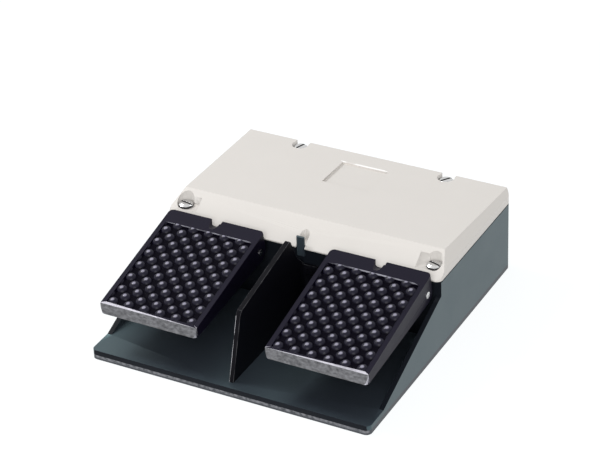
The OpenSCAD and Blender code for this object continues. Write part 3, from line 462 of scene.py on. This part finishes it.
# ---------------------------------------------------------------------------------------------
# Cover. A cast aluminium shell with a sloping front and bevelled sides, in light satin paint, on
# a rubber gasket. Pockets take its four screws, a notch takes the casting's rib, and the top has
# a blank sunk field.
cover_paint = finish("cover_paint", (0.725, 0.695, 0.66), 0.40, cloud=0.03, spread=0.08,
                     grain=500, bump=0.06, gloss=0.4, wear_and_highlight=((0.97, 0.96, 0.95), 3.0))
cover_low, cover_high = corners("cover")
cover_form_edge = 0.0022
cover_cut_edge = 0.0004
cover_bright_edge = 0.0009
cover_least_span = 0.030
lip_top = cover_low.z + 0.0022
field_half = 0.022
field_front, field_rear = cover_high.y - 0.0575, cover_high.y - 0.0185
field_least_z = cover_low.z + 0.007
field_slack = 0.001


def every(edge):
    """Any edge that is still sharp."""
    return True


def on_field(edge):
    """Edges of the blank field in the top."""
    return all(abs(vert.co.x) < field_half and vert.co.z > field_least_z
               and field_front - field_slack < vert.co.y < field_rear + field_slack
               for vert in edge.verts)


def on_field_rear(edge):
    """The field's rear edge, which faces the operator and is lightened as painted highlight."""
    return on_field(edge) and all(abs(vert.co.y - field_rear) < field_slack for vert in edge.verts)


def on_cover_form(edge):
    """Long edges of the cover's outer form, above the lip and away from the field."""
    above_lip = any(vert.co.z > lip_top for vert in edge.verts)
    return span(edge) > cover_least_span and above_lip and not on_field(edge)


def on_lip(edge):
    """The long low edges all round, which carry a painted highlight next to the dark gasket."""
    return span(edge) > cover_least_span and all(vert.co.z <= lip_top for vert in edge.verts)


# the field's rear edge and the low edges all round get a broken near-white line, as painted
# highlight
eased_copy("cover", "cover_shell",
           [ease(on_cover_form, cover_form_edge, 5, least_angle=8),
            ease(on_field_rear, cover_bright_edge, 4, wear_and_highlight=1.0),
            ease(on_lip, cover_bright_edge, 3, wear_and_highlight=0.6), ease(every, cover_cut_edge, 2)],
           [cover_paint], "base")
dress(black_rubber, "cover_gasket")

# ---------------------------------------------------------------------------------------------
# Cover screws. Slotted pan heads in bright nickel, sunk in the cover's pockets. Their steep
# faces, the slot walls and the sides of the heads, are painted dark as painted shade.
bright_nickel = finish("bright_nickel", (0.60, 0.60, 0.60), 0.26, metal=1.0, cloud=0.05,
                       spread=0.08, grain=1200, bump=0.03)
painted_shade_dark = finish("painted_shade_dark", (0.05, 0.05, 0.052), 0.6, cloud=0.6, grain=1500, bump=0.3,
                      gloss=0.2)
small_edge = 0.0003


def gets_painted_shade(face):
    """The steep faces, which are painted dark as painted shade."""
    return face.normal.z < 0.4


heads = eased_copy("cover_screws", "screw_heads", [ease(every, small_edge, 2)],
                   [bright_nickel, painted_shade_dark], "base")
repaint(heads, 1, gets_painted_shade)

# ---------------------------------------------------------------------------------------------
# Divider. A steel plate on edge between the pedals, let into the tray and screwed to the wall.
# Its black paint is rubbed through along the front edge, which is also lightened as painted
# highlight; its other edges carry a faint painted highlight.
divider_paint = finish("divider_paint", (0.003, 0.003, 0.005), 0.42, cloud=0.25, grain=700,
                       bump=0.1, gloss=0.08, wear_and_highlight=((0.88, 0.88, 0.93), 2.5))
divider_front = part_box("divider")[0][1]
divider_front_edge = 0.0012
divider_edge = 0.0006
divider_least_span = 0.01


def on_divider_front(edge):
    """The steep front edge on the left pedal's side, where shoes catch."""
    a, b = (vert.co for vert in edge.verts)
    steep = abs(a.z - b.z) > 0.5 * span(edge) and span(edge) > divider_least_span
    return steep and max(a.x, b.x) < 0 and max(a.y, b.y) < divider_front / 2


eased_copy("divider", "divider_plate",
           [ease(on_divider_front, divider_front_edge, 3, wear_and_highlight=1.0),
            ease(every, divider_edge, 3, wear_and_highlight=0.10)],
           [divider_paint], "base")
dress(divider_paint, "divider_screws")

# ---------------------------------------------------------------------------------------------
# Pedals. Aluminium castings in dark satin paint, tipping on ground steel pins in bronze bushes.
# Their front faces are milled bare, with the edges around them just broken and coloured brighter
# as painted highlight. The rear rim of the tread's pocket, and faintly all painted edges, get a
# paler line as painted highlight.
pedal_paint = finish("pedal_paint", (0.005, 0.004, 0.011), 0.38, cloud=0.2, spread=0.12,
                     grain=800, bump=0.12, gloss=0.16, tint=(0.78, 0.76, 1.0),
                     wear_and_highlight=((0.42, 0.42, 0.48), 1.0))
milled_face = finish("milled_face", (0.17, 0.17, 0.18), 0.45, metal=0.9, cloud=2.2,
                     cloud_size=420, spread=0.3, grain=1400, bump=0.5, stretch=(0.7, 1.0, 1.3))
# brighter than the milled face: painted highlight on the broken edges
highlit_broken_edge = finish("highlit_broken_edge", (0.47, 0.46, 0.51), 0.48, metal=1.0, cloud=1.0,
                     cloud_size=260, grain=1400, bump=0.1)
ground_steel = finish("ground_steel", (0.72, 0.72, 0.72), 0.2, metal=1.0, cloud=0.05, grain=2200,
                      bump=0.04)
bronze = finish("bronze", (0.46, 0.30, 0.12), 0.3, metal=1.0, grain=1600, bump=0.05)
nose_edge = 0.0012
nose_slack = 0.0002
pedal_edge = 0.0008
tread_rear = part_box("tread_left")[1][1]
tread_rear_slack = 0.0025
nose = max((face for face in nodes["pedal_left"].data.polygons if face.normal.y < -0.9),
           key=lambda face: face.area)
nose_centre, nose_normal = nose.center.copy(), nose.normal.copy()


def on_nose(edge):
    """Edges around the front face, which is the same plane on both pedals."""
    return all(abs((vert.co - nose_centre).dot(nose_normal)) < nose_slack for vert in edge.verts)


def behind_tread(edge):
    """The rim of the tread's pocket at the rear, which is lightened as painted highlight."""
    a, b = (vert.co for vert in edge.verts)
    across = abs(a.x - b.x) > 0.9 * span(edge)
    return across and abs((a.y + b.y) / 2 - tread_rear) < tread_rear_slack


def bare_metal(face):
    """The front face with its broken edges."""
    behind = (nose_centre - face.center).dot(nose_normal)
    return behind < nose_edge and face.normal.dot(nose_normal) > 0.10


def milled_flat(face):
    """The front face without its broken edges."""
    return bare_metal(face) and face.normal.dot(nose_normal) > 0.97


for side in ("left", "right"):
    pedal = eased_copy(f"pedal_{side}", f"pedal_casting_{side}",
                       [ease(on_nose, nose_edge, 4), ease(behind_tread, pedal_edge, 3, wear_and_highlight=1.0),
                        ease(every, pedal_edge, 4, wear_and_highlight=0.08)],
                       [pedal_paint, milled_face, highlit_broken_edge], f"{side}_pedal")
    repaint(pedal, 2, bare_metal)
    repaint(pedal, 1, milled_flat)
    dress(ground_steel, f"pin_{side}")
dress(bronze, "pivot_bushes")

# ---------------------------------------------------------------------------------------------
# Treads. Black rubber mats with staggered round studs, pressed into the pedals' pockets.
# The pits between the studs are painted darker and left without coat, as painted shade. The
# domes are lighter under a glossy coat, and their caps are painted pale grey as painted highlight.
tread_rubber = finish("tread_rubber", (0.0015, 0.001, 0.004), 0.5, cloud=0.2, grain=1500,
                      bump=0.12, gloss=0.03)
dome_colour_above_pit_shade = (0.006, 0.005, 0.016)
cap_highlight_colour = (0.31, 0.30, 0.38)
# shares of the studs' height where the painted pit shade ends, and where the painted cap highlight
# starts and is full
pit_shade_end = 0.6
cap_highlight_from, cap_highlight_full = 0.87, 0.995
flat_least = 0.999
flat_least_area = 1e-6
tree = tread_rubber.node_tree
height = tree.nodes.new("ShaderNodeAttribute")
height.attribute_name = "height"
above_pit_shade = ramp(tree, height.outputs["Fac"], 0.0, pit_shade_end, kind="SMOOTHSTEP")
cap_highlight = ramp(tree, height.outputs["Fac"], cap_highlight_from, cap_highlight_full, kind="SMOOTHSTEP")
lay_colour(tread_rubber, above_pit_shade, dome_colour_above_pit_shade)
lay_colour(tread_rubber, cap_highlight, cap_highlight_colour)
shader = tree.nodes["Principled BSDF"]
feed(tree, shader.inputs["Coat Weight"], above_pit_shade)
shader.inputs["Coat Roughness"].default_value = 0.28
shader.inputs["Coat IOR"].default_value = 1.28
for side in ("left", "right"):
    mat = eased_copy(f"tread_{side}", f"tread_mat_{side}", [ease(every, small_edge, 2)],
                     [tread_rubber], f"{side}_pedal")
    faces = mat.data.polygons
    upward = max((face for face in faces if face.normal.z > 0.8),
                 key=lambda face: face.area).normal.copy()
    mat_level = min(face.center.dot(upward) for face in faces
                    if face.normal.dot(upward) > flat_least and face.area > flat_least_area)
    levels = [vert.co.dot(upward) - mat_level for vert in mat.data.vertices]
    stud_height = max(levels)
    marks = mat.data.attributes.new("height", "FLOAT", "POINT")
    marks.data.foreach_set("value", [max(0.0, level / stud_height) for level in levels])

# ---------------------------------------------------------------------------------------------
# Plungers and springs. Ground rods in bronze guides with rubber wipers, pushed by the pedals'
# arms and brought back by coiled steel wire between a collar and the switch bracket.
spring_wire = finish("spring_wire", (0.55, 0.56, 0.57), 0.25, metal=1.0, grain=2500, bump=0.05)
wire_radius = 0.0006
wire_sides = 10
coil_turns = 5
coil_steps = 40 * coil_turns
quarter_turn = math.pi / 2
# each coil starts as a slice of wire at the collar, which is spun back to the bracket
for side in ("left", "right"):
    low, high = corners(f"return_spring_{side}")
    middle = (low + high) / 2
    coil_radius = (high.x - low.x) / 2 - wire_radius
    rise = high.y - low.y - 2 * wire_radius
    work = bmesh.new()
    ring = bmesh.ops.create_circle(work, cap_ends=True, segments=wire_sides,
                                   radius=wire_radius)["verts"]
    for axis in ("X", "Z"):
        bmesh.ops.rotate(work, verts=ring, cent=(0, 0, 0),
                         matrix=Matrix.Rotation(quarter_turn, 3, axis))
    bmesh.ops.translate(work, verts=ring,
                        vec=(middle.x, low.y + wire_radius, middle.z + coil_radius))
    bmesh.ops.spin(work, geom=work.verts[:] + work.edges[:] + work.faces[:],
                   cent=(middle.x, low.y, middle.z), axis=(0, 1, 0),
                   dvec=(0, rise / coil_steps, 0), angle=2 * math.pi * coil_turns,
                   steps=coil_steps, use_duplicate=False)
    bmesh.ops.remove_doubles(work, verts=work.verts, dist=merge_distance / 10)
    bmesh.ops.recalc_face_normals(work, faces=work.faces)
    put_in_order(work)
    for face in work.faces:
        face.smooth = True
    mesh = bpy.data.meshes.new(f"coil_{side}")
    work.to_mesh(mesh)
    work.free()
    mesh.materials.append(spring_wire)
    coil = bpy.data.objects.new(f"coil_{side}", mesh)
    scene.collection.objects.link(coil)
    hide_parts(f"return_spring_{side}")
    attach(coil, "base")
    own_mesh(coil)
    dress(ground_steel, f"plunger_{side}")
    dress(bright_zinc, f"collar_{side}")
dress(bronze, "guide_bushes", "guide_nuts")
dress(black_rubber, "stop_buffers", "rod_seals")

# ---------------------------------------------------------------------------------------------
# Switch blocks. Moulded contact blocks with brass terminals on bent sheet brackets, screwed to
# the casting's pillars.
switch_plastic = finish("switch_plastic", (0.035, 0.037, 0.04), 0.5, cloud=0.1, grain=1000,
                        bump=0.1)
terminal_brass = finish("terminal_brass", (0.62, 0.45, 0.17), 0.26, metal=1.0, grain=1600,
                        bump=0.05)
dull_zinc = finish("dull_zinc", (0.25, 0.255, 0.27), 0.42, metal=0.9, cloud=0.25, spread=0.2,
                   grain=1500, bump=0.1, stretch=(0.3, 1.0, 1.0))
dress(switch_plastic, "switch_left", "switch_right")
dress(terminal_brass, "switch_terminals_left", "switch_terminals_right", "earth_terminal")
dress(dull_zinc, "switch_brackets")
dress(bright_zinc, "bracket_screws", "block_screws")

# ---------------------------------------------------------------------------------------------
# Cable gland and plug. Nickel-plated gland with a rubber seal, held by a locknut in one entry
# of the rear wall, and a slotted plastic plug in the other.
dull_nickel = finish("dull_nickel", (0.55, 0.55, 0.54), 0.3, metal=1.0, cloud=0.1, grain=1500,
                     bump=0.05)
plug_plastic = finish("plug_plastic", (0.02, 0.02, 0.021), 0.45, grain=1200, bump=0.1)
dress(dull_nickel, "gland_body", "gland_nut", "gland_locknut")
dress(black_rubber, "gland_seal", "gland_washer")
dress(plug_plastic, "blanking_plug")
